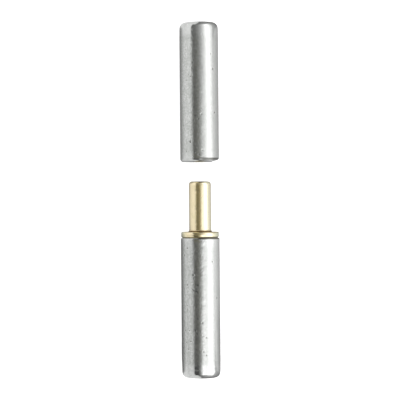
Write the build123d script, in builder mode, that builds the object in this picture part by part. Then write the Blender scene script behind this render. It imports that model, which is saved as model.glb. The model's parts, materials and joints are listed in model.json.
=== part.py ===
from build123d import *
from math import radians, tan
import os

# Weld-on barrel hinge: two round steel barrels, each bored from one end, a brass pin
# pressed into the lower barrel, and a loose brass thrust washer that carries the load.
# The upper barrel has no fixing of its own: it drops over the pin and lifts off again.
#
# The hinge lies on its side with the upper barrel pulled off the pin. The origin is on
# the surface under it, midway between the two mouths. +Y runs along the pin, from the
# lower barrel to the upper one, and +Z is up.

# Barrels: bright drawn bar, faced at the mouth, rounded over at the closed end
BAR_DIAMETER = 14.0
BARREL_LENGTH = 50.4
LOWER_MOUTH_RADIUS = 0.3   # the lower mouth is only broken, and the upper one is eased over
UPPER_MOUTH_RADIUS = 1.1
CLOSED_EDGE_RADIUS = 2.5
RELIEF_LENGTH = 6.0       # the closed end is dressed down a little over this length
RELIEF_DEPTH = 0.09
DRILL_POINT_ANGLE = 118.0
BORE_CHAMFER = 0.5

# Pin: brass rod, rounded at its nose and chamfered at its foot
PIN_DIAMETER = 8.0
PIN_PROUD = 18.2          # what stands out of the washer
PIN_SEAT = 24.5           # what is pressed into the lower barrel
PIN_NOSE_RADIUS = 1.1
PIN_FOOT_CHAMFER = 0.6

# Thrust washer: turned brass ring with a crowned rim
WASHER_THICKNESS = 2.0
WASHER_SETBACK = 0.18     # how far its rim lies inside the barrels' side
WASHER_CROWN = 0.25       # how much further the rim stands out at its middle than at its edges
WASHER_EDGE_CHAMFER = 0.2
WASHER_BORE_CHAMFER = 0.25

# Fits, as radial clearances unless named otherwise
PIN_TO_UPPER_BORE = 0.05
PIN_TO_WASHER = 0.08
PIN_INTERFERENCE = 0.01
AXIAL_PLAY = 0.25         # the loose washer lies this far off the lower mouth
NOSE_CLEARANCE = 1.5      # from the nose to the full depth of the upper bore
FOOT_CLEARANCE = 1.0      # from the foot to the full depth of the lower bore

# How far the upper mouth lies beyond the pin's nose while the hinge is apart
PULLED_CLEAR = 7.0

# Worked out from the sizes above
BAR_RADIUS = BAR_DIAMETER / 2
PIN_RADIUS = PIN_DIAMETER / 2
AXIS_HEIGHT = BAR_RADIUS
MOUTH_TO_MOUTH = AXIAL_PLAY + WASHER_THICKNESS + PIN_PROUD + PULLED_CLEAR
LOWER_MOUTH_Y = -MOUTH_TO_MOUTH / 2
UPPER_MOUTH_Y = MOUTH_TO_MOUTH / 2
WASHER_Y = LOWER_MOUTH_Y + AXIAL_PLAY
PIN_FOOT_Y = LOWER_MOUTH_Y - PIN_SEAT
PIN_LENGTH = PIN_SEAT + AXIAL_PLAY + WASHER_THICKNESS + PIN_PROUD
WASHER_BORE_RADIUS = PIN_RADIUS + PIN_TO_WASHER
WASHER_RIM_RADIUS = BAR_RADIUS - WASHER_SETBACK

PIN_AXIS = Axis((0, 0, AXIS_HEIGHT), (0, 1, 0))


def section_plane(y, along):
    """Plane of an upright half-section: X is the radius, Y starts at y and runs along +Y or -Y."""
    return Plane(origin=(0, y, AXIS_HEIGHT), x_dir=(0, 0, 1), z_dir=(-along, 0, 0))


def barrel_half_section(bore_radius, bore_depth, mouth_radius):
    """Half-section of a bored barrel, from its mouth at Y = 0 to its closed end."""
    drill_point = bore_radius / tan(radians(DRILL_POINT_ANGLE / 2))
    with BuildSketch() as half_section:
        with BuildLine():
            Polyline(
                (bore_radius + BORE_CHAMFER, 0),
                (BAR_RADIUS, 0),
                (BAR_RADIUS, BARREL_LENGTH - RELIEF_LENGTH),
                (BAR_RADIUS - RELIEF_DEPTH, BARREL_LENGTH),
                (0, BARREL_LENGTH),
                (0, bore_depth + drill_point),
                (bore_radius, bore_depth),
                (bore_radius, BORE_CHAMFER),
                close=True,
            )
        make_face()
        mouth_corner = vertices().group_by(Axis.Y)[0].sort_by(Axis.X)[-1]
        fillet(mouth_corner, mouth_radius)
        closed_corner = vertices().group_by(Axis.Y)[-1].sort_by(Axis.X)[-1]
        fillet(closed_corner, CLOSED_EDGE_RADIUS)
    return half_section.sketch


# Lower barrel: the half welded to the post. Its bore is an interference fit on the pin.
with BuildPart() as lower_barrel:
    with BuildSketch(section_plane(LOWER_MOUTH_Y, -1)):
        add(barrel_half_section(PIN_RADIUS - PIN_INTERFERENCE, PIN_SEAT + FOOT_CLEARANCE, LOWER_MOUTH_RADIUS))
    revolve(axis=PIN_AXIS)

# Upper barrel: the half welded to the leaf. It turns and slides on the pin, and its bore
# is deeper than the pin is proud, so that the washer takes the weight and not the nose.
with BuildPart() as upper_barrel:
    with BuildSketch(section_plane(UPPER_MOUTH_Y, 1)):
        add(barrel_half_section(PIN_RADIUS + PIN_TO_UPPER_BORE, PIN_PROUD + NOSE_CLEARANCE, UPPER_MOUTH_RADIUS))
    revolve(axis=PIN_AXIS)

# Hinge pin: plain brass rod, up on its foot inside the lower barrel
with BuildPart() as hinge_pin:
    with BuildSketch(Plane(origin=(0, PIN_FOOT_Y, AXIS_HEIGHT), z_dir=(0, 1, 0))):
        Circle(PIN_RADIUS)
    extrude(amount=PIN_LENGTH)
    chamfer(edges().group_by(Axis.Y)[0], PIN_FOOT_CHAMFER)
    fillet(edges().group_by(Axis.Y)[-1], PIN_NOSE_RADIUS)

# Thrust washer: loose on the pin, and slid a little off the lower mouth. Its rim is crowned,
# and its bore is chamfered both sides.
with BuildPart() as thrust_washer:
    with BuildSketch(section_plane(WASHER_Y, 1)):
        with BuildLine():
            ThreePointArc(
                (WASHER_RIM_RADIUS - WASHER_CROWN, 0),
                (WASHER_RIM_RADIUS, WASHER_THICKNESS / 2),
                (WASHER_RIM_RADIUS - WASHER_CROWN, WASHER_THICKNESS),
            )
            Polyline(
                (WASHER_RIM_RADIUS - WASHER_CROWN, WASHER_THICKNESS),
                (WASHER_BORE_RADIUS, WASHER_THICKNESS),
                (WASHER_BORE_RADIUS, 0),
                (WASHER_RIM_RADIUS - WASHER_CROWN, 0),
            )
        make_face()
        rim_corners = vertices().group_by(Axis.X)[-1]
        chamfer(rim_corners, WASHER_EDGE_CHAMFER)
        bore_corners = vertices().group_by(Axis.X)[0]
        chamfer(bore_corners, WASHER_BORE_CHAMFER)
    revolve(axis=PIN_AXIS)

os.makedirs("parts", exist_ok=True)

lower_barrel.part.label = "lower_barrel"
export_step(lower_barrel.part, "parts/lower_barrel.step")

upper_barrel.part.label = "upper_barrel"
export_step(upper_barrel.part, "parts/upper_barrel.step")

hinge_pin.part.label = "hinge_pin"
export_step(hinge_pin.part, "parts/hinge_pin.step")

thrust_washer.part.label = "thrust_washer"
export_step(thrust_washer.part, "parts/thrust_washer.step")
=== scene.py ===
import json
from math import cos, hypot, pi, radians, sin, tan

import bmesh
import bpy
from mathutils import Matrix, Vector

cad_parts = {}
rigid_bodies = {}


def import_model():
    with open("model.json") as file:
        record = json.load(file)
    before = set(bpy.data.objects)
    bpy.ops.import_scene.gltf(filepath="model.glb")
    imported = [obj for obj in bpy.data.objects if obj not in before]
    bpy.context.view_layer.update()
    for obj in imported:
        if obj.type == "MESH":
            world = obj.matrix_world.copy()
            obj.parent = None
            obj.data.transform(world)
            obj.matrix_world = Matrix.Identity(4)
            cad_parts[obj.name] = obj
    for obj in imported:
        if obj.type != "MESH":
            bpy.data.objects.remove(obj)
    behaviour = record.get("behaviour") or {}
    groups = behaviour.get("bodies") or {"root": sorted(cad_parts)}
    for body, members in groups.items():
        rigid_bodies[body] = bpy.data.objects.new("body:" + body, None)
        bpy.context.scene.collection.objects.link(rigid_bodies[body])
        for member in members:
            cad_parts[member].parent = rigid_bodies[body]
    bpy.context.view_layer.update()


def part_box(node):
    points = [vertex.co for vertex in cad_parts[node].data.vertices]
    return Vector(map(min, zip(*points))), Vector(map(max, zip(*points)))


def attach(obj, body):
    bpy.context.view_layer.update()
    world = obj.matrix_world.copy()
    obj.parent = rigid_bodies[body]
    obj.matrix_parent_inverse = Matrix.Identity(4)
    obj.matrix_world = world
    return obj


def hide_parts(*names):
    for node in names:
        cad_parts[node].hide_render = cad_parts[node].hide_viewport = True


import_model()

# ---- Camera ---------------------------------------------------------------------------
# A long lens straight above the hinge, so that the barrels' sides stay parallel. It is
# turned by half a degree, which leans the hinge's upper end to the left.
VIEW_DISTANCE = 0.72      # from the pin's axis
VIEW_WIDTH = 0.14452      # what the picture takes in at the pin's axis
VIEW_TURN = radians(-0.45)
VIEW_NEAREST = 0.05
VIEW_FURTHEST = 20
low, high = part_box("lower_barrel")
AXIS_HEIGHT = (low.z + high.z) / 2

camera = bpy.data.objects.new("camera", bpy.data.cameras.new("camera"))
camera.data.lens = camera.data.sensor_width * VIEW_DISTANCE / VIEW_WIDTH
camera.data.clip_start = VIEW_NEAREST
camera.data.clip_end = VIEW_FURTHEST
camera.location = (0.0, 0.0, AXIS_HEIGHT + VIEW_DISTANCE)
camera.rotation_euler = (0, 0, VIEW_TURN)
bpy.context.scene.collection.objects.link(camera)
bpy.context.scene.camera = camera
bpy.context.scene.view_settings.view_transform = "Standard"

# ---- Table ----------------------------------------------------------------------------
# A matt white board, glowing to full white. What the metal's gloss sees of it is painted
# shade: dim beside the barrels, dimmer on the right by the lower closed end, and dark on the
# right beyond both closed ends.
BOARD_SIZE = 12
BOARD_WHITE = (0.8, 0.8, 0.795, 1)
BOARD_GLOW = 0.82
BRIGHTEST_BOARD = 1.2
BOARD_REACH = 0.12
# each is the board's painted shade in the metal, as (place to the right of the axis, brightness)
BESIDE_LOWER = [
    (-0.100, 0.90), (-0.062, 0.85), (-0.035, 0.70), (-0.024, 0.53), (-0.017, 0.34), (-0.007, 0.10),
    (0.007, 0.42), (0.017, 0.68), (0.024, 0.79), (0.035, 0.93), (0.062, 1.06), (0.100, 1.12),
]
BESIDE_LOWER_END = [
    (-0.100, 0.90), (-0.062, 0.85), (-0.035, 0.70), (-0.024, 0.51), (-0.017, 0.31), (-0.007, 0.09),
    (0.007, 0.32), (0.017, 0.52), (0.024, 0.66), (0.035, 0.84), (0.062, 1.04), (0.100, 1.12),
]
BESIDE_UPPER = [
    (-0.100, 0.95), (-0.062, 0.91), (-0.035, 0.79), (-0.024, 0.60), (-0.017, 0.42), (-0.007, 0.20),
    (0.007, 0.40), (0.017, 0.62), (0.024, 0.69), (0.035, 0.79), (0.062, 0.91), (0.100, 0.95),
]
BESIDE_PIN = [
    (-0.030, 0.90), (-0.014, 0.68), (-0.007, 0.45), (0.004, 0.45), (0.012, 0.66), (0.030, 0.85),
]
BEYOND_ENDS = [
    (-0.010, 0.95), (-0.002, 0.85), (0.001, 0.20), (0.008, 0.24), (0.020, 0.40), (0.060, 0.60),
]
# where one gives way to the next, along +Y
LOWER_TO_ITS_END = (-0.030, -0.048)
LOWER_TO_UPPER = (-0.008, 0.008)
# and outwards from the middle of the hinge
PIN_TO_BARRELS = (0.008, 0.016)
BARRELS_TO_BEYOND = (0.062, 0.067)

bpy.ops.object.select_all(action="DESELECT")
bpy.ops.mesh.primitive_plane_add(size=BOARD_SIZE, location=(0, 0, 0))
table = bpy.context.object
table.name = "table"


def add_node(tree, kind, inputs=None, **settings):
    """Adds a node with its settings, and gives each input named a value or a link."""
    node = tree.nodes.new(kind)
    for name, value in settings.items():
        setattr(node, name, value)
    for name, value in (inputs or {}).items():
        if isinstance(value, bpy.types.NodeSocket):
            tree.links.new(value, node.inputs[name])
        else:
            node.inputs[name].default_value = value
    return node


def maths(tree, operation, first, second=0.0, third=0.0):
    return add_node(tree, "ShaderNodeMath", {0: first, 1: second, 2: third},
                    operation=operation).outputs[0]


def spread(tree, value, low, high, to_low=0.0, to_high=1.0, interpolation="LINEAR"):
    """Maps low…high to another range, and clamps it there."""
    return add_node(tree, "ShaderNodeMapRange", {
        "Value": value, "From Min": low, "From Max": high, "To Min": to_low, "To Max": to_high,
    }, interpolation_type=interpolation).outputs[0]


def soft_step(tree, value, start, end):
    """A mask that rises smoothly from 0 at start to 1 at end."""
    return spread(tree, value, start, end, interpolation="SMOOTHSTEP")


def blend_colours(tree, share, first, second, how="MIX"):
    return add_node(tree, "ShaderNodeMix", {0: share, 6: first, 7: second},
                    data_type="RGBA", blend_type=how).outputs[2]


def colours_across(tree, place, reach, stops):
    """Colours along a line from -reach to reach, from stops of (place, red, green, blue)."""
    ramp = add_node(tree, "ShaderNodeValToRGB", {"Fac": spread(tree, place, -reach, reach)})
    elements = ramp.color_ramp.elements
    elements.remove(elements[-1])
    for number, (where, *colour) in enumerate(stops):
        stop = elements[0] if number == 0 else elements.new(1.0)
        stop.position = 0.5 + where / reach / 2
        stop.color = (*colour, 1)
    return ramp.outputs["Color"]


def brightness_across(tree, place, reach, stops, full):
    """Greys along the same line, from stops of (place, brightness up to full)."""
    greys = [(where, *[brightness / full] * 3) for where, brightness in stops]
    return colours_across(tree, place, reach, greys)


white_board = bpy.data.materials.new("white_board")
white_board.use_nodes = True
tree = white_board.node_tree
tree.nodes.clear()
place = add_node(tree, "ShaderNodeTexCoord")
split = add_node(tree, "ShaderNodeSeparateXYZ", {0: place.outputs["Object"]})
across, along = split.outputs["X"], split.outputs["Y"]
from_middle = maths(tree, "ABSOLUTE", along)
near_pin, near_lower, near_lower_end, near_upper, beyond = [
    brightness_across(tree, across, BOARD_REACH, stops, BRIGHTEST_BOARD)
    for stops in (BESIDE_PIN, BESIDE_LOWER, BESIDE_LOWER_END, BESIDE_UPPER, BEYOND_ENDS)]
near_lower = blend_colours(
    tree, soft_step(tree, along, *LOWER_TO_ITS_END), near_lower, near_lower_end)
near_barrels = blend_colours(
    tree, soft_step(tree, along, *LOWER_TO_UPPER), near_lower, near_upper)
board_painted_shade = blend_colours(tree, soft_step(tree, from_middle, *PIN_TO_BARRELS), near_pin, near_barrels)
board_painted_shade = blend_colours(tree, soft_step(tree, from_middle, *BARRELS_TO_BEYOND), board_painted_shade, beyond)
path = add_node(tree, "ShaderNodeLightPath")
matt = add_node(tree, "ShaderNodeBsdfDiffuse", {"Color": BOARD_WHITE})
glow = add_node(tree, "ShaderNodeEmission", {"Strength": BOARD_GLOW})
board = add_node(tree, "ShaderNodeAddShader", {0: matt.outputs[0], 1: glow.outputs[0]})
# the metal's gloss sees this painted shade in place of the plain white board
board_painted_shade_in_gloss = add_node(tree, "ShaderNodeEmission", {"Color": board_painted_shade, "Strength": BRIGHTEST_BOARD})
either = add_node(tree, "ShaderNodeMixShader", {
    0: path.outputs["Is Glossy Ray"], 1: board.outputs[0], 2: board_painted_shade_in_gloss.outputs[0]})
add_node(tree, "ShaderNodeOutputMaterial", {"Surface": either.outputs[0]})
table.data.materials.append(white_board)

# ---- Studio light ---------------------------------------------------------------------
# A white tent: a wide softbox high on the right, a reflector on the left, and a dark gap
# overhead for the camera. The gap is narrower over the lower barrel's far end, and past
# both ends of the softbox the right side is dark. The camera itself sees plain white.
BRIGHTEST_LIGHT = 4.0
# each is how bright the tent is, as (degrees to the right of straight up, brightness)
OVER_UPPER = [
    (-95, 1.00), (-70, 1.04), (-51, 1.06), (-41, 1.06), (-34, 0.195), (-13, 0.215), (3, 0.34),
    (22, 0.60), (34, 0.98), (46, 1.46), (54, 1.78), (63, 1.80), (73, 1.72), (82, 1.34),
    (89, 1.15), (96, 1.03),
]
OVER_LOWER = [
    (-95, 0.84), (-70, 0.96), (-54, 0.86), (-46, 0.58), (-38, 0.155), (-12, 0.168), (-3, 0.205),
    (5, 0.27), (11, 0.35), (17, 0.92), (23, 1.47), (33, 1.34), (42, 1.48), (52, 1.78),
    (66, 1.82), (78, 1.72), (93, 1.29),
]
OVER_LOWER_FAR_SIDE = [
    (-95, 0.69), (-70, 0.74), (-52, 0.72), (-44, 0.57), (-36, 0.23), (-20, 0.26), (-12, 0.30),
    (-2, 0.54), (5, 0.97), (11, 1.48), (17, 1.86), (24, 1.76), (34, 1.38), (42, 1.48),
    (50, 1.76), (62, 1.76), (72, 1.60), (80, 1.34), (86, 1.14), (93, 0.97),
]
OVER_LOWER_END = [
    (-95, 0.78), (-70, 0.92), (-52, 0.90), (-45, 0.64), (-38, 0.08), (-16, 0.09), (-2, 0.42),
    (6, 1.02), (14, 1.66), (32, 1.46), (50, 1.80), (62, 1.80), (72, 1.72), (80, 1.62),
    (93, 1.30),
]
PAST_THE_ENDS = [
    (-95, 0.92), (-32, 0.90), (-17, 0.24), (10, 0.22), (52, 0.40), (90, 0.55),
]
# where one gives way to the next, by how far the light comes from along the hinge: -1 is
# straight from its lower end, and 1 straight from its upper end
UPPER_STARTS = (-0.018, 0.014)
FAR_SIDE_STARTS = (-0.040, -0.062)
LOWER_END_STARTS = (-0.088, -0.104)
PAST_LOWER_END = (-0.62, -0.76)
PAST_UPPER_END = (0.71, 0.83)
PIN_STARTS = (-0.024, -0.012)
PIN_STOPS = (0.016, 0.004)
# the tent's top is turned over the pin, and towards its upper end
TURNED_OVER_PIN = 10.2
TURNED_OVER_UPPER_END = 10.0
UPPER_END_TURNS = (0.052, 0.09)
# the gap overhead is tinted: a little green over the barrels, and warm over the brass
GAP_STARTS = (-44, -36)
GAP_STOPS = (12, -8)
BARREL_TINT = (0.995, 1.0, 0.985, 1)
BRASS_TINT = (1.04, 0.94, 0.55, 1)

studio = bpy.data.worlds.new("studio")
studio.use_nodes = True
bpy.context.scene.world = studio
tree = studio.node_tree
tree.nodes.clear()
way = add_node(tree, "ShaderNodeTexCoord")
split = add_node(tree, "ShaderNodeSeparateXYZ", {0: way.outputs["Generated"]})
lean = maths(tree, "DEGREES", maths(tree, "ARCTAN2", split.outputs["X"], split.outputs["Z"]))
from_end = split.outputs["Y"]
over_pin = maths(tree, "MULTIPLY", soft_step(tree, from_end, *PIN_STARTS),
                 soft_step(tree, from_end, *PIN_STOPS))
turned_by = spread(tree, from_end, *UPPER_END_TURNS, 0.0, TURNED_OVER_UPPER_END)
turned_by = maths(tree, "MULTIPLY_ADD", over_pin, TURNED_OVER_PIN, turned_by)
turned_lean = maths(tree, "ADD", lean, turned_by)
over_upper, over_lower, over_far_side, over_lower_end = [
    brightness_across(tree, turned_lean, 180.0, stops, BRIGHTEST_LIGHT)
    for stops in (OVER_UPPER, OVER_LOWER, OVER_LOWER_FAR_SIDE, OVER_LOWER_END)]
past_ends = brightness_across(tree, lean, 180.0, PAST_THE_ENDS, BRIGHTEST_LIGHT)
tent = blend_colours(tree, soft_step(tree, from_end, *FAR_SIDE_STARTS), over_lower, over_far_side)
tent = blend_colours(tree, soft_step(tree, from_end, *LOWER_END_STARTS), tent, over_lower_end)
tent = blend_colours(tree, soft_step(tree, from_end, *UPPER_STARTS), tent, over_upper)
is_past = maths(tree, "ADD", soft_step(tree, from_end, *PAST_LOWER_END),
                soft_step(tree, from_end, *PAST_UPPER_END))
tent = blend_colours(tree, is_past, tent, past_ends)
in_gap = maths(tree, "MULTIPLY", soft_step(tree, lean, *GAP_STARTS),
               soft_step(tree, lean, *GAP_STOPS))
gap_tint = blend_colours(tree, over_pin, BARREL_TINT, BRASS_TINT)
tent = blend_colours(tree, in_gap, tent, gap_tint, how="MULTIPLY")
inside = add_node(tree, "ShaderNodeBackground", {"Color": tent, "Strength": BRIGHTEST_LIGHT})
backdrop = add_node(tree, "ShaderNodeBackground", {"Color": (1, 1, 1, 1), "Strength": 1.0})
path = add_node(tree, "ShaderNodeLightPath")
shown = add_node(tree, "ShaderNodeMixShader", {
    0: path.outputs["Is Camera Ray"], 1: inside.outputs[0], 2: backdrop.outputs[0]})
add_node(tree, "ShaderNodeOutputWorld", {"Surface": shown.outputs[0]})

# ---- Lower barrel ---------------------------------------------------------------------
# Bright drawn steel bar, faced and bored from its mouth, and dressed round at its closed
# end. It is the half that is welded to the post, and its bore grips the pin.
LOWER_MOUTH = high.y
UPPER_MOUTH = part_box("upper_barrel")[0].y
BAR_RADIUS = 0.007
BAR_SIDES = 256
BARREL_LENGTH = 0.0504
DRESSED_LENGTH = 0.006    # the closed end is dressed down a little over this length
DRESSED_DEPTH = 0.00009
CLOSED_ROUNDING = 0.0025
CLOSED_PROFILE = 0.57     # a little squarer than a quarter circle, which is 0.5
BORE_CHAMFER = 0.0005
DRILL_POINT = radians(118)
LOWER_MOUTH_ROUNDING = 0.0002
LOWER_BORE_RADIUS = 0.00399
LOWER_BORE_DEPTH = 0.0255
# its edges along the wall are cut into rings close enough to carry pits and nicks, each
# time as (the shortest edge cut, cuts)
RING_CUTS = ((0.020, 15), (0.0015, 15))
SQUARE_ON = 0.9           # how squarely an end face looks along the axis, at least
SAME_PLACE = 1e-6         # how near counts as the same, along the axis and from it
SAME_RADIUS = 2e-5
NEAR_RADIUS = 2e-4
PITTED_SKIN = 0.00015     # pits, and the bar's waviness, only reach verts this near the wall
WAVY_SKIN = 0.0004
SMOOTH_BELOW = radians(35)


def pick(piece, kind, wanted):
    """In edit mode, selects the piece's faces, edges or verts that are wanted, and no others."""
    modes = [kind == mode for mode in ("verts", "edges", "faces")]
    bpy.context.tool_settings.mesh_select_mode = modes
    bpy.ops.mesh.select_all(action="DESELECT")
    mesh = bmesh.from_edit_mesh(piece.data)
    for part in getattr(mesh, kind):
        part.select_set(bool(wanted(part)))
    mesh.select_flush_mode()
    bmesh.update_edit_mesh(piece.data)


def from_axis(point):
    return hypot(point.x, point.z - AXIS_HEIGHT)


def rim(y, radius):
    """Chooses the edges of a circle round the pin's axis."""
    def on_rim(edge):
        return all(abs(vert.co.y - y) < SAME_PLACE
                   and abs(from_axis(vert.co) - radius) < SAME_RADIUS for vert in edge.verts)
    return on_rim


def lengthwise(shortest, radius):
    """Chooses the edges that run along the axis near one radius."""
    def runs_along(edge):
        first, last = (vert.co for vert in edge.verts)
        return abs(first.y - last.y) > shortest and all(
            abs(from_axis(end) - radius) < NEAR_RADIUS for end in (first, last))
    return runs_along


def draw_out(distance):
    """In edit mode, extrudes the selected faces along the axis."""
    bpy.ops.mesh.extrude_region_move(TRANSFORM_OT_translate={"value": (0, distance, 0)})


def resize_round(share, **settings):
    """In edit mode, makes what is selected slimmer or wider round the pin's axis."""
    bpy.ops.transform.resize(
        value=(share, 1, share), center_override=(0, 0, AXIS_HEIGHT), **settings)


def add_round_bar(name, y0, y1, radius, sides):
    """Starts a piece as a plain round bar between y0 and y1, in edit mode."""
    bpy.ops.object.select_all(action="DESELECT")
    bpy.ops.mesh.primitive_cylinder_add(
        vertices=sides, radius=radius, depth=abs(y1 - y0), end_fill_type="NGON",
        location=(0, (y0 + y1) / 2, AXIS_HEIGHT), rotation=(radians(90), 0, 0))
    bpy.ops.object.transform_apply(location=True, rotation=True, scale=True)
    piece = bpy.context.object
    piece.name = piece.data.name = name
    bpy.ops.object.mode_set(mode="EDIT")
    return piece


def turn_barrel(name, mouth, along, bore_radius, bore_depth, mouth_rounding):
    """Turns a barrel from bar, from its mouth towards +Y if along is 1, or -Y if it is -1."""
    dressed_from = mouth + along * (BARREL_LENGTH - DRESSED_LENGTH)
    closed_end = mouth + along * BARREL_LENGTH
    barrel = add_round_bar(name, mouth, dressed_from, BAR_RADIUS, BAR_SIDES)

    # closed end: drawn out, dressed down and rounded over
    pick(barrel, "faces", lambda face: face.normal.y * along > SQUARE_ON)
    draw_out(along * DRESSED_LENGTH)
    closed_radius = BAR_RADIUS - DRESSED_DEPTH
    resize_round(closed_radius / BAR_RADIUS)
    pick(barrel, "edges", rim(closed_end, closed_radius))
    bpy.ops.mesh.bevel(offset=CLOSED_ROUNDING, segments=16, profile=CLOSED_PROFILE)

    # bore: a drilled hole with its drill point, chamfered where it starts
    pick(barrel, "faces", lambda face: face.normal.y * along < -SQUARE_ON)
    bpy.ops.mesh.inset(thickness=BAR_RADIUS - bore_radius)
    draw_out(along * bore_depth)
    draw_out(along * bore_radius / tan(DRILL_POINT / 2))
    bpy.ops.mesh.merge(type="CENTER")
    pick(barrel, "edges", rim(mouth, bore_radius))
    bpy.ops.mesh.bevel(offset=BORE_CHAMFER, segments=1)
    pick(barrel, "edges", rim(mouth, BAR_RADIUS))
    bpy.ops.mesh.bevel(offset=mouth_rounding, segments=8, profile=0.5)

    for shortest, cuts in RING_CUTS:
        pick(barrel, "edges", lengthwise(shortest, BAR_RADIUS))
        bpy.ops.mesh.subdivide(number_cuts=cuts)
    return barrel


def point_at(y, degrees, radius=BAR_RADIUS):
    """The point of a round piece at y, and so many degrees to the right of its top."""
    turn = radians(degrees)
    return Vector((radius * sin(turn), y, AXIS_HEIGHT + radius * cos(turn)))


def on_barrel(mouth, along, marks):
    """The points of marks on a barrel, each (millimetres from its mouth, degrees)."""
    return [point_at(mouth + along * distance / 1000, degrees) for distance, degrees in marks]


def scratch(first, last, count):
    """The marks of a scratch from the first to the last."""
    steps = [n / (count - 1) for n in range(count)]
    return [(first[0] + (last[0] - first[0]) * t, first[1] + (last[1] - first[1]) * t)
            for t in steps]


def press_in(depth, width, radius, falloff="SMOOTH"):
    """In edit mode, presses the selected verts and the metal round them towards the axis."""
    resize_round(1 - depth / radius, use_proportional_edit=True,
                 proportional_edit_falloff=falloff, proportional_size=width)


def push_over(way, width):
    """In edit mode, pushes the selected verts and the metal round them over to one side."""
    bpy.ops.transform.translate(value=way, use_proportional_edit=True,
                                proportional_edit_falloff="SMOOTH", proportional_size=width)


def press_marks(piece, points, depth, width, radius=BAR_RADIUS, reach=0.00013):
    """Presses a pit into the piece at each point, by the verts within its reach."""
    pick(piece, "verts", lambda vert: any(
        abs(vert.co.y - point.y) < reach and (vert.co - point).length < reach
        for point in points))
    press_in(depth, width, radius)


def scatter_pits(piece, share, seed, depth, width, radius=BAR_RADIUS, furthest_right=BAR_RADIUS):
    """Presses a pit into a random share of the wall's verts, as far to the right as is given."""
    bpy.context.tool_settings.mesh_select_mode = (True, False, False)
    bpy.ops.mesh.select_all(action="DESELECT")
    bpy.ops.mesh.select_random(ratio=share, seed=seed)
    mesh = bmesh.from_edit_mesh(piece.data)
    for vert in mesh.verts:
        on_wall = from_axis(vert.co) > radius - PITTED_SKIN and vert.co.x < furthest_right
        vert.select_set(vert.select and on_wall)
    mesh.select_flush_mode()
    bmesh.update_edit_mesh(piece.data)
    press_in(depth, width, radius, "SHARP")


def close_piece():
    """Finishes the mesh in edit mode: welds doubles, turns faces outwards and smooths it."""
    bpy.ops.mesh.select_all(action="SELECT")
    bpy.ops.mesh.remove_doubles(threshold=1e-7)
    bpy.ops.mesh.normals_make_consistent(inside=False)
    bpy.ops.mesh.select_all(action="DESELECT")
    bpy.ops.object.mode_set(mode="OBJECT")
    bpy.ops.object.shade_smooth_by_angle(angle=SMOOTH_BELOW)


def make_uneven(piece, radius, waves):
    """Drawn bar is never quite true: each wave is (length, height), and only the wall moves."""
    wall = piece.vertex_groups.new(name="wall")
    verts = piece.data.vertices
    wall.add([vert.index for vert in verts if from_axis(vert.co) > radius - WAVY_SKIN],
             1.0, "REPLACE")
    for number, (length, height) in enumerate(waves):
        swell = bpy.data.textures.new(f"{piece.name}_swell_{number}", "CLOUDS")
        swell.noise_scale = length
        uneven = piece.modifiers.new("uneven", "DISPLACE")
        uneven.texture = swell
        uneven.texture_coords = "LOCAL"
        uneven.direction = "NORMAL"
        uneven.mid_level = 0.5
        uneven.strength = height
        uneven.vertex_group = "wall"
        bpy.ops.object.modifier_apply(modifier=uneven.name)
    piece.vertex_groups.clear()


def new_metal(name, colour, roughness):
    """A bare metal: its own colour, and one roughness all over until its section adds to it."""
    metal = bpy.data.materials.new(name)
    metal.use_nodes = True
    shader = metal.node_tree.nodes["Principled BSDF"]
    shader.inputs["Base Color"].default_value = (*colour, 1)
    shader.inputs["Metallic"].default_value = 1.0
    shader.inputs["Roughness"].default_value = roughness
    return metal, metal.node_tree, shader


def new_effect(name, inputs, outputs):
    """Starts an effect that more than one metal uses, as a node group. Each input is (name,
    value), and one with no value is a place or a direction."""
    effect = bpy.data.node_groups.new(name, "ShaderNodeTree")
    for socket, value in inputs:
        kind = "NodeSocketVector" if value is None else "NodeSocketFloat"
        made = effect.interface.new_socket(socket, in_out="INPUT", socket_type=kind)
        if value is not None:
            made.default_value = value
    for socket in outputs:
        effect.interface.new_socket(socket, in_out="OUTPUT", socket_type="NodeSocketFloat")
    given = add_node(effect, "NodeGroupInput").outputs
    return effect, given, add_node(effect, "NodeGroupOutput").inputs


def vector_maths(tree, operation, first, second=(0, 0, 0)):
    return add_node(tree, "ShaderNodeVectorMath", {0: first, 1: second},
                    operation=operation).outputs


def cloudy(tree, place, scale, detail, roughness=0.5, distortion=0.0):
    """Cloudy noise, between 0 and 1."""
    return add_node(tree, "ShaderNodeTexNoise", {
        "Vector": place, "Scale": scale, "Detail": detail, "Roughness": roughness,
        "Distortion": distortion}).outputs["Fac"]


# Where a spot lies on a turned piece: how far from the axis, how much it faces along the
# axis, and whether it is inside a bore.
FACES_AN_END = (0.90, 0.98)
FACES_INWARDS = (0.0, -0.001)
tree, given, put = new_effect(
    "turned_place", [("Place", None), ("Facing", None)], ["Radius", "End", "Bore"])
turned_place = tree
about = vector_maths(tree, "SUBTRACT", given["Place"], (0, 0, AXIS_HEIGHT))[0]
flat = vector_maths(tree, "MULTIPLY", about, (1, 0, 1))[0]
tree.links.new(vector_maths(tree, "LENGTH", flat)["Value"], put["Radius"])
facing = add_node(tree, "ShaderNodeSeparateXYZ", {0: given["Facing"]}).outputs["Y"]
tree.links.new(spread(tree, maths(tree, "ABSOLUTE", facing), *FACES_AN_END), put["End"])
outward = vector_maths(tree, "DOT_PRODUCT", flat, given["Facing"])["Value"]
tree.links.new(spread(tree, outward, *FACES_INWARDS), put["Bore"])

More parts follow.
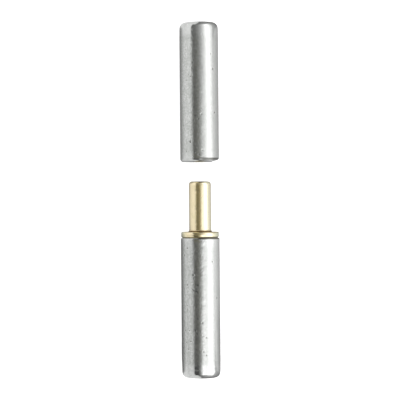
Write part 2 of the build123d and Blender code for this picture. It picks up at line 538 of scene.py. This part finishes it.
# Drawing leaves fine streaks along the bar: so many to the metre across it and along it.
STREAKS = (2600, 45, 2600)
STREAK_CONTRAST = (0.3, 0.7)
tree, given, put = new_effect("drawn_streaks", [("Place", None), ("Fineness", 1.0)], ["Streaks"])
drawn_streaks = tree
stretched = vector_maths(tree, "MULTIPLY", given["Place"], STREAKS)[0]
finer = add_node(tree, "ShaderNodeVectorMath", {0: stretched, "Scale": given["Fineness"]},
                 operation="SCALE").outputs[0]
streaky = cloudy(tree, finer, scale=1.0, detail=3.0, roughness=0.6)
tree.links.new(spread(tree, streaky, *STREAK_CONTRAST), put["Streaks"])

# Turning leaves rings: by radius on an end face, and along the axis in a bore or on a rim.
# The tool wanders by up to one ring.
tree, given, put = new_effect(
    "turned_rings", [("Place", None), ("Radius", 0.0), ("End", 0.0), ("Pitch", 0.0002)], ["Rings"])
turned_rings = tree
along_axis = add_node(tree, "ShaderNodeSeparateXYZ", {0: given["Place"]}).outputs["Y"]
from_start = add_node(tree, "ShaderNodeMix", {0: given["End"], 2: along_axis, 3: given["Radius"]},
                      data_type="FLOAT").outputs[0]
wander = cloudy(tree, given["Place"], scale=900.0, detail=2.0)
turns = maths(tree, "ADD", maths(tree, "DIVIDE", from_start, given["Pitch"]), wander)
wave = maths(tree, "SINE", maths(tree, "MULTIPLY", turns, 2 * pi))
tree.links.new(spread(tree, wave, -1.0, 1.0), put["Rings"])

# Handling and storage leave soft stains, where cloudy noise is thickest. With more cover
# they reach into thinner cloud.
THICKEST_CLOUD = 0.80
STAIN_EDGE = 0.16
tree, given, put = new_effect(
    "stains", [("Place", None), ("Size", 0.006), ("Cover", 0.5)], ["Stains"])
stains = tree
clouds = cloudy(tree, given["Place"], maths(tree, "DIVIDE", 1.0, given["Size"]), detail=5.0,
                roughness=0.62, distortion=0.4)
least = maths(tree, "SUBTRACT", THICKEST_CLOUD, maths(tree, "MULTIPLY", given["Cover"], 0.5))
most = maths(tree, "ADD", least, STAIN_EDGE)
tree.links.new(spread(tree, clouds, least, most), put["Stains"])

# Where the metal has started to spot there are specks: a share of evenly spread places has
# one, from 0.4 to 1.3 times the size given and ragged at its edge.
SMALLEST_SPECK = 0.4
SPECKS_VARY = 0.9
RAGGEDNESS = 0.25
SPECK_EDGE = (0.03, -0.05)
tree, given, put = new_effect(
    "specks", [("Place", None), ("Spacing", 0.0015), ("Size", 0.16), ("Share", 0.4)], ["Specks"])
specks = tree
cells = add_node(tree, "ShaderNodeTexVoronoi", {
    "Vector": given["Place"], "Scale": maths(tree, "DIVIDE", 1.0, given["Spacing"]),
    "Randomness": 1.0}).outputs
chance = add_node(tree, "ShaderNodeSeparateColor", {0: cells["Color"]}).outputs
kept = maths(tree, "LESS_THAN", chance[0], given["Share"])
size = maths(tree, "MULTIPLY_ADD", chance[1], SPECKS_VARY, SMALLEST_SPECK)
size = maths(tree, "MULTIPLY", given["Size"], size)
ragged = maths(tree, "SUBTRACT", cloudy(tree, given["Place"], scale=2600.0, detail=2.0), 0.5)
edge = maths(tree, "MULTIPLY_ADD", ragged, RAGGEDNESS, cells["Distance"])
dot = spread(tree, maths(tree, "SUBTRACT", edge, size), *SPECK_EDGE)
tree.links.new(maths(tree, "MULTIPLY", dot, kept), put["Specks"])


def find_spot(tree):
    """Where a metal's spot is: its place, place across and place along the hinge, distance
    from the axis, and whether it faces an end or is in a bore."""
    coordinates = add_node(tree, "ShaderNodeTexCoord").outputs
    place = coordinates["Object"]
    split = add_node(tree, "ShaderNodeSeparateXYZ", {0: place}).outputs
    turned = add_node(tree, "ShaderNodeGroup", {"Place": place, "Facing": coordinates["Normal"]},
                      node_tree=turned_place).outputs
    return place, split["X"], split["Y"], turned["Radius"], turned["End"], turned["Bore"]


def add_effect(tree, effect, place, **values):
    """Places an effect in a metal with its own values, and gives its mask."""
    return add_node(tree, "ShaderNodeGroup", {"Place": place, **values},
                    node_tree=effect).outputs[0]


def times(tree, *masks):
    """Masks and strengths multiplied together."""
    product = masks[0]
    for mask in masks[1:]:
        product = maths(tree, "MULTIPLY", product, mask)
    return product


def except_on(tree, mask, share):
    """All over, but for a share of what is under the mask."""
    return maths(tree, "MULTIPLY_ADD", mask, -share, 1.0)


def lay_colours(tree, colour, layers):
    """Lays colours over a first one, each (mask, strength, colour)."""
    for mask, strength, shade in layers:
        colour = blend_colours(tree, times(tree, mask, strength), colour, (*shade, 1))
    return colour


def add_shares(tree, value, shares):
    """Adds to a value, by (mask, how much it adds)."""
    for mask, share in shares:
        value = maths(tree, "MULTIPLY_ADD", mask, share, value)
    return value


RELIEF = 0.00001          # how high a height of 1 stands


def finish_metal(tree, shader, colour, roughness, height):
    """Gives a metal its colour, its roughness and its fine relief."""
    tree.links.new(colour, shader.inputs["Base Color"])
    tree.links.new(roughness, shader.inputs["Roughness"])
    relief = add_node(tree, "ShaderNodeBump", {
        "Height": height, "Strength": 1.0, "Distance": RELIEF})
    tree.links.new(relief.outputs[0], shader.inputs["Normal"])


# Steel: bright, a little green-grey with old oil, dull where it is stained, and dark in its
# pits. The mouths and the closed ends are worked with a finer wheel, so they are cleaner.
# The left side carries more grit, smears, bloom and specks than the right.
GRITTIER_LEFT_SIDE = (0.0025, -0.0012)     # across
RIGHT_SIDE_SHARE = 0.22              # for 1 on the left
WALL_STARTS = (0.0148, 0.0150)      # these four are from the middle of the hinge
WALL_STOPS = (0.0566, 0.0556)
MOUTH_WORKED = (0.0180, 0.0146)
END_WORKED = (0.0586, 0.0600)
PIT_DARKENS = (0.00003, 0.000065)   # below the wall
WIPED_ALONG = (1, 0.32, 1)          # smears are drawn out along the bar
# painted shade just below the lower mouth on its right, and a painted dark reflection in a band
# along the upper mouth's rounding, stronger to the right
LOWER_PAINTED_SHADE_FROM = (LOWER_MOUTH - 0.00050, LOWER_MOUTH - 0.00030)
LOWER_PAINTED_SHADE_ACROSS = (-0.0013, -0.0005)
UPPER_PAINTED_REFLECTION_FROM = (UPPER_MOUTH + 0.00050, UPPER_MOUTH + 0.00075)
UPPER_PAINTED_REFLECTION_TO = (UPPER_MOUTH + 0.00156, UPPER_MOUTH + 0.00138)
UPPER_PAINTED_REFLECTION_ACROSS = (-0.0012, 0.0012)

drawn_steel, tree, shader = new_metal("drawn_steel", (0.60, 0.607, 0.597), 0.20)
place, across, along, radius, end_face, bore = find_spot(tree)
from_middle = maths(tree, "ABSOLUTE", along)
grittier_left_side = spread(tree, across, *GRITTIER_LEFT_SIDE, RIGHT_SIDE_SHARE, 1.0)
undressed = times(tree, spread(tree, from_middle, *WALL_STARTS),
                  spread(tree, from_middle, *WALL_STOPS))
worked = maths(tree, "MAXIMUM", spread(tree, from_middle, *MOUTH_WORKED),
               spread(tree, from_middle, *END_WORKED))
rough_wall = times(tree, grittier_left_side, except_on(tree, worked, 0.7))
sunk = maths(tree, "SUBTRACT", BAR_RADIUS, radius)

# a film of oil with smears in it, a bloom and spots of first rust, grit, and places where
# all of it is rubbed off to a shine
grain = add_effect(tree, drawn_streaks, place)
rings = add_effect(tree, turned_rings, place, Radius=radius, End=end_face, Pitch=0.00022)
film = add_effect(tree, stains, place, Size=0.009, Cover=0.62)
film = times(tree, film, except_on(tree, worked, 0.8))
bloom = add_effect(tree, stains, place, Size=0.0016, Cover=0.42)
bloom = times(tree, bloom, grittier_left_side)
wiped = vector_maths(tree, "MULTIPLY", place, WIPED_ALONG)[0]
smears = times(tree, add_effect(tree, stains, wiped, Size=0.0013, Cover=0.75), rough_wall)
grit = times(tree, add_effect(tree, stains, place, Size=0.0007, Cover=0.80), rough_wall)
spots = add_effect(tree, specks, place, Spacing=0.0016, Size=0.12, Share=0.50)
spots = times(tree, spots, grittier_left_side, maths(tree, "MULTIPLY_ADD", undressed, 0.8, 0.2))
shine = add_effect(tree, specks, place, Spacing=0.0021, Size=0.11, Share=0.35)
shine = times(tree, shine, grittier_left_side)
pits = times(tree, spread(tree, sunk, *PIT_DARKENS), undressed)
# painted dark reflection along the upper mouth's rounding, stronger to the right
upper_mouth_painted_reflection = times(tree, spread(tree, along, *UPPER_PAINTED_REFLECTION_TO),
                    spread(tree, along, *UPPER_PAINTED_REFLECTION_FROM),
                    spread(tree, across, *UPPER_PAINTED_REFLECTION_ACROSS))
# painted shade just below the lower mouth, on its right
lower_mouth_painted_shade = times(tree, spread(tree, along, *LOWER_PAINTED_SHADE_FROM), maths(tree, "LESS_THAN", along, 0.0),
                  spread(tree, across, *LOWER_PAINTED_SHADE_ACROSS))
turned = maths(tree, "MAXIMUM", end_face, bore)

colour = lay_colours(tree, (0.65, 0.657, 0.647, 1), [
    (film, 0.5, (0.585, 0.605, 0.585)),
    (worked, 0.6, (0.69, 0.70, 0.69)),
    (smears, 0.55, (0.50, 0.515, 0.495)),
    (grit, 0.60, (0.47, 0.485, 0.465)),
    (bloom, 0.35, (0.44, 0.45, 0.42)),
    (shine, 0.55, (0.86, 0.87, 0.86)),
    (spots, 0.75, (0.20, 0.21, 0.18)),
    (pits, 0.8, (0.13, 0.13, 0.11)),
    (bore, 0.6, (0.34, 0.34, 0.32)),
    # the last two are painted: a dark reflection on the upper mouth, and shade on the lower mouth
    (upper_mouth_painted_reflection, 0.90, (0.13, 0.13, 0.12)),
    (lower_mouth_painted_shade, 0.85, (0.10, 0.09, 0.07)),
])
roughness = add_shares(tree, 0.155, [
    (grain, 0.03), (worked, -0.08), (film, 0.05), (bloom, 0.10), (spots, 0.25), (bore, 0.15),
])
height = add_shares(tree, 0.0, [
    (times(tree, grain, except_on(tree, turned, 1.0)), 0.10),
    (times(tree, rings, turned), 0.40), (bloom, -0.9), (grit, -0.5), (spots, -1.2),
])
finish_metal(tree, shader, colour, roughness, height)

# Lower barrel's marks, in millimetres from its mouth and degrees to the right of its top.
# Its left side is dressed down a hair more towards the closed end.
LOWER_DINGS = [
    (3.6, -42), (13.1, -22), (17.0, -9), (29.0, -9.5), (30.2, 4), (37.2, -47.5), (46.0, -35.5),
]
LOWER_PITS = [
    (6.1, -57), (16.7, -43), (17.8, -41), (24.1, -45.5), (26.4, -33.5), (33.1, -53), (33.1, -37),
    (33.1, -16), (36.9, -31.5), (39.7, -40), (43.0, -26.5), (35.6, 16), (40.6, 7), (41.9, 15.5),
    (8.4, 38), (21.5, 56),
]
LONG_SCRATCH = scratch((18.1, -25), (19.6, -8), 14)
SHORT_SCRATCH = scratch((25.2, -43.5), (26.6, -43.5), 9)
LEFT_DRESSED_FROM = LOWER_MOUTH - 0.0452
LEFT_WALL = -BAR_RADIUS + 0.00014

lower_barrel = turn_barrel("turned_lower_barrel", LOWER_MOUTH, -1, LOWER_BORE_RADIUS,
                           LOWER_BORE_DEPTH, LOWER_MOUTH_ROUNDING)

pick(lower_barrel, "verts",
     lambda vert: vert.co.y < LEFT_DRESSED_FROM and vert.co.x < LEFT_WALL)
push_over((0.00008, 0, 0), width=0.0020)
for marks, depth, width in (
        (LOWER_DINGS, 0.00007, 0.00042), (LOWER_PITS, 0.00008, 0.00040),
        (LONG_SCRATCH, 0.00005, 0.00030), (SHORT_SCRATCH, 0.00006, 0.00030)):
    press_marks(lower_barrel, on_barrel(LOWER_MOUTH, -1, marks), depth, width)
scatter_pits(lower_barrel, share=0.0100, seed=21, depth=0.00002, width=0.00026)
scatter_pits(lower_barrel, share=0.0040, seed=3, depth=0.00004, width=0.00026)
scatter_pits(lower_barrel, share=0.0024, seed=8, depth=0.00009, width=0.00034,
             furthest_right=-0.0010)
close_piece()
make_uneven(lower_barrel, BAR_RADIUS, waves=[(0.0030, 0.000042), (0.0010, 0.000016)])
lower_barrel.data.materials.append(drawn_steel)
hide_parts("lower_barrel")
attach(lower_barrel, "lower_half")

# ---- Hinge pin ------------------------------------------------------------------------
# Drawn brass rod with a rounded nose. Its lower half is pressed into the lower barrel, and
# old oil has gathered in a thin bead where it comes out of the washer.
PIN_RADIUS = 0.004
PIN_SIDES = 160
NOSE_ROUNDING = 0.0011
FOOT_CHAMFER = 0.0006
OIL_BEAD = [   # (above the washer, proud of the pin)
    (-0.00002, 0.0), (0.00001, 0.00043), (0.00010, 0.00040), (0.00022, 0.00029),
    (0.00034, 0.00017), (0.00048, 0.00004), (0.00080, 0.0),
]
# handling marks, in millimetres from the nose and degrees to the right of the top
PIN_MARKS = [
    *[(3.5, degrees) for degrees in range(-22, -4, 3)],
    *[(10.4, degrees) for degrees in range(-24, 2, 3)],
    *[(11.6, degrees) for degrees in range(-20, -6, 3)],
    (2.1, -14), (14.9, -21), (6.6, 35), (13.0, -50), (7.4, -58),
]
foot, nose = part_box("hinge_pin")
under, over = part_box("thrust_washer")

pin = add_round_bar("drawn_hinge_pin", foot.y, nose.y, PIN_RADIUS, PIN_SIDES)
pick(pin, "edges", rim(nose.y, PIN_RADIUS))
bpy.ops.mesh.bevel(offset=NOSE_ROUNDING, segments=10, profile=0.5)
pick(pin, "edges", rim(foot.y, PIN_RADIUS))
bpy.ops.mesh.bevel(offset=FOOT_CHAMFER, segments=1)
pick(pin, "edges", lengthwise(0.020, PIN_RADIUS))
bpy.ops.mesh.subdivide(number_cuts=99)
for above, proud in OIL_BEAD:
    bpy.ops.mesh.select_all(action="SELECT")
    bpy.ops.mesh.bisect(plane_co=(0, over.y + above, AXIS_HEIGHT), plane_no=(0, 1, 0))
for above, proud in OIL_BEAD:
    pick(pin, "verts", lambda vert: abs(vert.co.y - over.y - above) < SAME_PLACE)
    resize_round(1 + proud / PIN_RADIUS)
press_marks(pin, [point_at(nose.y - distance / 1000, degrees, PIN_RADIUS)
                  for distance, degrees in PIN_MARKS],
            depth=0.000022, width=0.00036, radius=PIN_RADIUS, reach=0.00026)
scatter_pits(pin, share=0.0025, seed=4, depth=0.000012, width=0.00050, radius=PIN_RADIUS)
close_piece()
make_uneven(pin, PIN_RADIUS, waves=[(0.0040, 0.000014)])

# Pin's brass: its colour is painted from side to side as shading, as (place across, red, green,
# blue): darker at both edges as painted shade, a warmer, deeper stripe just left of the top as a
# painted tint of the dark reflection there, and paler and greener on the right as painted
# highlight. The bead is old oil, painted dark as shade where the pin meets the washer, and below
# it the pin is painted dark as shade.
PIN_PAINTED_SHADING = [
    (-0.0040, 0.68, 0.585, 0.43), (-0.0032, 0.90, 0.785, 0.53), (-0.0017, 0.905, 0.785, 0.53),
    (-0.0012, 0.96, 0.80, 0.44), (0.0, 0.95, 0.80, 0.46), (0.0006, 0.93, 0.83, 0.56),
    (0.0020, 0.90, 0.86, 0.64), (0.0035, 0.90, 0.84, 0.62), (0.0040, 0.74, 0.67, 0.50),
]
SHADING_STRAYS = 0.0003    # how far a stain moves it
# the bead's darkness is old oil and painted shade at the pin's foot; below the washer's top the
# pin is painted dark as shade
BEAD_OIL_AND_SHADE = (over.y + 0.00090, over.y + 0.00024)
HIDDEN_PAINTED_SHADE = (over.y + 0.00005, over.y - 0.00005)

pin_brass, tree, shader = new_metal("pin_brass", (0.92, 0.80, 0.50), 0.18)
place, across, along, radius, end_face, bore = find_spot(tree)
grain = add_effect(tree, drawn_streaks, place, Fineness=1.4)
rings = add_effect(tree, turned_rings, place, Radius=radius, End=end_face, Pitch=0.00018)
film = add_effect(tree, stains, place, Size=0.005, Cover=0.55)
spots = add_effect(tree, specks, place, Spacing=0.0022, Size=0.08, Share=0.30)
bead_oil_and_shade = spread(tree, along, *BEAD_OIL_AND_SHADE)
hidden_painted_shade = spread(tree, along, *HIDDEN_PAINTED_SHADE)
strayed = maths(tree, "MULTIPLY_ADD", film, SHADING_STRAYS, across)
painted_shading = colours_across(tree, strayed, PIN_RADIUS, PIN_PAINTED_SHADING)
colour = lay_colours(tree, painted_shading, [
    (film, 0.5, (0.82, 0.715, 0.45)),
    (spots, 0.7, (0.42, 0.33, 0.16)),
    # old oil and painted shade on the bead, and painted shade below the washer's top
    (bead_oil_and_shade, 0.85, (0.52, 0.39, 0.23)),
    (hidden_painted_shade, 1.0, (0.09, 0.07, 0.045)),
])
roughness = add_shares(tree, 0.125, [(grain, 0.03), (film, 0.06), (spots, 0.2), (bead_oil_and_shade, 0.2)])
height = add_shares(tree, 0.0, [
    (times(tree, grain, except_on(tree, end_face, 1.0)), 0.08),
    (times(tree, rings, end_face), 0.3), (spots, -0.8),
])
finish_metal(tree, shader, colour, roughness, height)
pin.data.materials.append(pin_brass)
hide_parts("hinge_pin")
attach(pin, "lower_half")

# ---- Thrust washer --------------------------------------------------------------------
# Turned brass ring, loose on the pin, so it hangs a hair off centre. Its rim is crowned and
# its edges are broken. Old oil lies under it, painted dark as shade in the gap to the barrel.
WASHER_RADIUS = 0.00682
WASHER_SIDES = 192
WASHER_CROWN = 0.00012
WASHER_ROUNDING = 0.00033
WASHER_BORE_RADIUS = 0.00408
WASHER_BORE_CHAMFER = 0.00025
HANGS_OFF = 0.00007
OIL_SETBACK = 0.00010
OIL_THICKNESS = 0.00022
NEAR_RIM = 0.0001
# nicks in its rim's edges, as (degrees to the right of the top, place along the axis)
NICK_HEIGHT = 0.0003
RIM_NICKS = [
    (33, under.y + NICK_HEIGHT), (71, over.y - NICK_HEIGHT), (140, over.y - NICK_HEIGHT),
    (-118, under.y + NICK_HEIGHT),
]
edge_radius = WASHER_RADIUS - WASHER_CROWN
half_thickness = (over.y - under.y) / 2
middle = (under.y + over.y) / 2

washer = add_round_bar("turned_thrust_washer", under.y, over.y, edge_radius, WASHER_SIDES)
for side in (-1, 1):
    pick(washer, "faces", lambda face: face.normal.y * side > SQUARE_ON)
    bpy.ops.mesh.inset(thickness=edge_radius - WASHER_BORE_RADIUS)
    bpy.ops.mesh.delete(type="FACE")
pick(washer, "edges", lambda edge: rim(under.y, WASHER_BORE_RADIUS)(edge)
     or rim(over.y, WASHER_BORE_RADIUS)(edge))
bpy.ops.mesh.bridge_edge_loops()
pick(washer, "edges", lengthwise(0.002, edge_radius))
bpy.ops.mesh.subdivide(number_cuts=9)
pick(washer, "verts", lambda vert: abs(vert.co.y - middle) < SAME_PLACE
     and from_axis(vert.co) > edge_radius - NEAR_RIM)
resize_round(WASHER_RADIUS / edge_radius, use_proportional_edit=True,
             proportional_edit_falloff="SPHERE", proportional_size=half_thickness)
for face_y in (under.y, over.y):
    pick(washer, "edges", rim(face_y, edge_radius))
    bpy.ops.mesh.bevel(offset=WASHER_ROUNDING, segments=6, profile=0.5)
    pick(washer, "edges", rim(face_y, WASHER_BORE_RADIUS))
    bpy.ops.mesh.bevel(offset=WASHER_BORE_CHAMFER, segments=1)

# the oil is squeezed down on to the barrel's mouth, a skin painted dark as shade in the gap
pick(washer, "faces", lambda face: face.normal.y < -SQUARE_ON)
bpy.ops.mesh.inset(thickness=OIL_SETBACK)
draw_out(-OIL_THICKNESS)

press_marks(washer, [point_at(y, degrees, edge_radius + NEAR_RIM) for degrees, y in RIM_NICKS],
            depth=0.00006, width=0.00040, radius=WASHER_RADIUS, reach=0.00030)
bpy.ops.mesh.select_all(action="SELECT")
bpy.ops.transform.translate(value=(-HANGS_OFF, 0, 0))
close_piece()

# Washer's brass: duller than the pin's, with its colour painted from side to side as shading:
# paler and greener towards both edges, and a warmer, deeper stripe just left of the middle as a
# painted tint of the dark reflection there. Old oil under it is painted darker as shade, reaching
# further up its right side than its left, and its top edge is painted dark as shade on the right.
WASHER_PAINTED_SHADING = [
    (-0.0068, 0.80, 0.81, 0.63), (-0.0056, 0.86, 0.81, 0.58), (-0.0045, 0.90, 0.785, 0.54),
    (-0.0026, 0.90, 0.785, 0.54), (-0.0019, 0.96, 0.80, 0.43), (-0.0004, 0.96, 0.80, 0.44),
    (0.0004, 0.94, 0.82, 0.56), (0.0043, 0.90, 0.83, 0.62), (0.0056, 0.84, 0.83, 0.62),
    (0.0068, 0.80, 0.81, 0.63),
]
DARKER_RIGHT_SIDE = (-0.0014, 0.0)     # across
SHADE_REACHES_UP = 0.00020
UNDERSIDE_OIL_AND_SHADE = (under.y + 0.00012, under.y + 0.00003)
# the top edge is painted dark as shade on the right
TOP_RIGHT_PAINTED_SHADE = (over.y - 0.00050, over.y - 0.00022)

washer_brass, tree, shader = new_metal("washer_brass", (0.90, 0.78, 0.50), 0.19)
place, across, along, radius, end_face, bore = find_spot(tree)
rings = add_effect(tree, turned_rings, place, Radius=radius, End=end_face, Pitch=0.00016)
film = add_effect(tree, stains, place, Size=0.0035, Cover=0.6)
spots = add_effect(tree, specks, place, Spacing=0.0018, Size=0.09, Share=0.35)
# painted shade over old oil under the washer and in its bore, reaching further up on the right
darker_right_side = spread(tree, across, *DARKER_RIGHT_SIDE)
shade_reach = maths(tree, "MULTIPLY_ADD", darker_right_side, -SHADE_REACHES_UP, along)
oil_and_shade = maths(tree, "MAXIMUM", spread(tree, shade_reach, *UNDERSIDE_OIL_AND_SHADE), bore)
# painted shade along the top edge, on the right
top_right_painted_shade = times(tree, spread(tree, along, *TOP_RIGHT_PAINTED_SHADE), darker_right_side)
strayed = maths(tree, "MULTIPLY_ADD", film, SHADING_STRAYS, across)
painted_shading = colours_across(tree, strayed, WASHER_RADIUS, WASHER_PAINTED_SHADING)
colour = lay_colours(tree, painted_shading, [
    (film, 0.4, (0.84, 0.735, 0.45)),
    (spots, 0.7, (0.42, 0.34, 0.16)),
    (oil_and_shade, 0.85, (0.10, 0.08, 0.045)),
    (top_right_painted_shade, 0.75, (0.34, 0.25, 0.13)),
])
roughness = add_shares(tree, 0.085, [(film, 0.05), (spots, 0.2), (oil_and_shade, 0.2)])
height = add_shares(tree, 0.0, [(rings, 0.12), (spots, -0.8)])
finish_metal(tree, shader, colour, roughness, height)
tree.links.new(maths(tree, "SUBTRACT", 1.0, oil_and_shade), shader.inputs["Metallic"])
washer.data.materials.append(washer_brass)
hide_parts("thrust_washer")
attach(washer, "washer")

# ---- Upper barrel ---------------------------------------------------------------------
# The same bar, bored with a running fit so that it turns and slides on the pin. It is
# welded to the leaf.
UPPER_MOUTH_ROUNDING = 0.0011
UPPER_BORE_RADIUS = 0.00405
UPPER_BORE_DEPTH = 0.0197
# its marks, in millimetres from its mouth and degrees to the right of its top, begin with
# a nick like a V
UPPER_NICK = [*scratch((7.4, -30.5), (6.9, -27.5), 5), *scratch((6.9, -27.5), (7.5, -26.0), 4)]
UPPER_DINGS = [(33.3, 46), (17.7, 52)]
UPPER_PITS = [(13.1, -58), (26.6, -14), (44.1, -34), (47.1, -42), (38.7, 38)]
SHALLOW_PITS = [
    (16.3, -12), (15.2, -4), (17.1, 6), (3.4, -14), (2.6, -2), (4.1, 8), (19.5, -15),
    (44.7, 11), (43.2, -15), (45.4, 9),
]
KNOCKED_ACROSS = 0.0056   # the mouth's right corner is knocked back
KNOCKED_DEPTH = 0.0003

upper_barrel = turn_barrel("turned_upper_barrel", UPPER_MOUTH, 1, UPPER_BORE_RADIUS,
                           UPPER_BORE_DEPTH, UPPER_MOUTH_ROUNDING)
for marks, depth, width in (
        (UPPER_NICK, 0.00008, 0.00025), (UPPER_DINGS, 0.00012, 0.00048),
        (UPPER_PITS, 0.00008, 0.00036), (SHALLOW_PITS, 0.00007, 0.00036)):
    press_marks(upper_barrel, on_barrel(UPPER_MOUTH, 1, marks), depth, width)
scatter_pits(upper_barrel, share=0.0050, seed=22, depth=0.00002, width=0.00030)
scatter_pits(upper_barrel, share=0.0016, seed=5, depth=0.00004, width=0.00030)
scatter_pits(upper_barrel, share=0.0007, seed=11, depth=0.00008, width=0.00034,
             furthest_right=-0.0004)
pick(upper_barrel, "verts", lambda vert: vert.co.x > KNOCKED_ACROSS
     and UPPER_MOUTH - SAME_PLACE < vert.co.y < UPPER_MOUTH + KNOCKED_DEPTH)
push_over((-0.00005, 0.0005, 0), width=0.0022)
close_piece()
make_uneven(upper_barrel, BAR_RADIUS, waves=[(0.0030, 0.00004), (0.0010, 0.000012)])
upper_barrel.data.materials.append(drawn_steel)
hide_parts("upper_barrel")
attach(upper_barrel, "upper_half")
